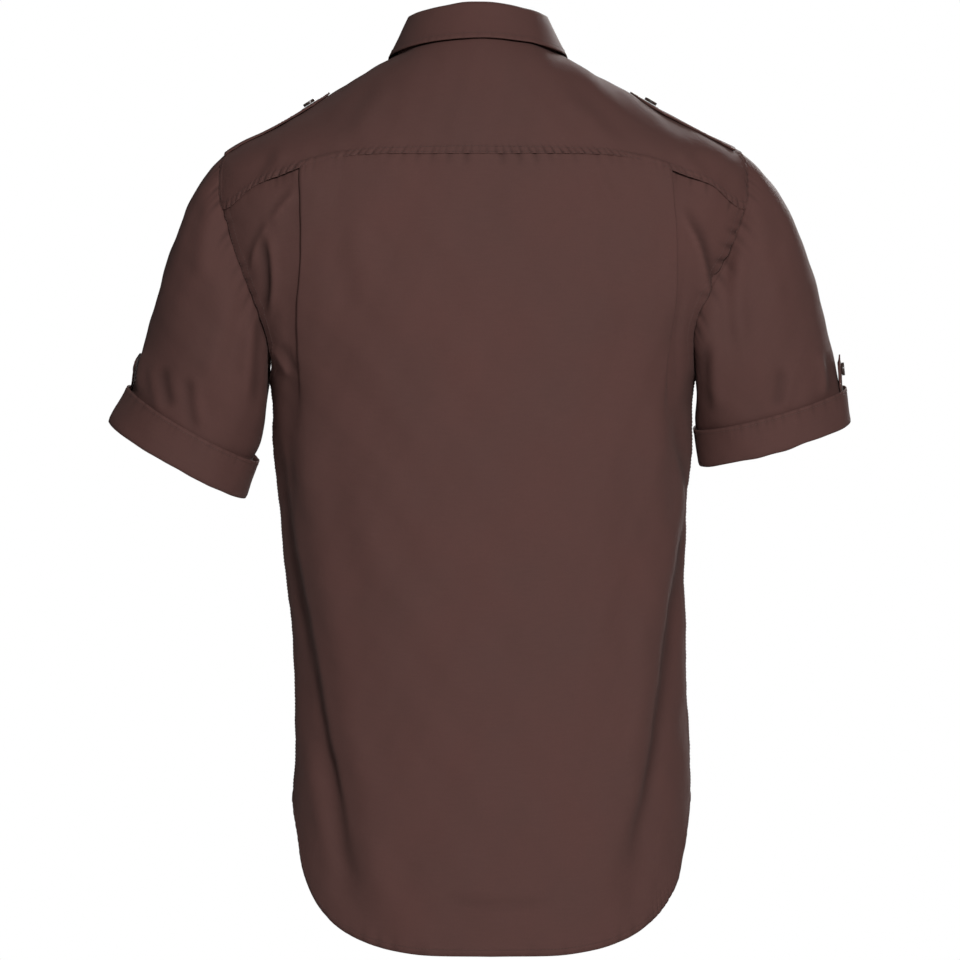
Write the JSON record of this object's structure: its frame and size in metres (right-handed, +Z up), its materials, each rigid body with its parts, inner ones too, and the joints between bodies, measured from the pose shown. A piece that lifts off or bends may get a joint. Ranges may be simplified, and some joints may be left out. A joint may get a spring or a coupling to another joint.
{
  "type": "military shirt",
  "caption": "Short-sleeved military shirt with shoulder straps, turned-up cuffs with tabs, a back yoke and pleats, filled out as worn with open neck, cuffs and hem.",
  "frame": {"origin": "middle of the neck, level with the top of the shoulders, where the wearer holds the shirt up", "axes": "+Z up, the front of the shirt towards -Y, the wearer's left towards +X"},
  "size_m": [0.6431, 0.2525, 0.8211],
  "materials": {
    "cloth": "plain woven cotton blend, matt with a slight sheen",
    "buttons": "dark brown, slightly glossy"
  },
  "bodies": {
    "root": {"back_panel": "cloth", "back_yoke": "cloth", "collar_button": "buttons", "collar_leaf": "cloth", "collar_stand": "cloth", "front_band": "cloth", "front_button_1": "buttons", "front_button_2": "buttons", "front_button_3": "buttons", "front_button_4": "buttons", "front_button_5": "buttons", "front_button_6": "buttons", "left_cuff": "cloth", "left_epaulette": "cloth", "left_epaulette_button": "buttons", "left_front": "cloth", "left_sleeve": "cloth", "left_sleeve_button": "buttons", "left_sleeve_tab": "cloth", "right_cuff": "cloth", "right_epaulette": "cloth", "right_epaulette_button": "buttons", "right_front": "cloth", "right_sleeve": "cloth", "right_sleeve_button": "buttons", "right_sleeve_tab": "cloth"}
  },
  "joints": []
}
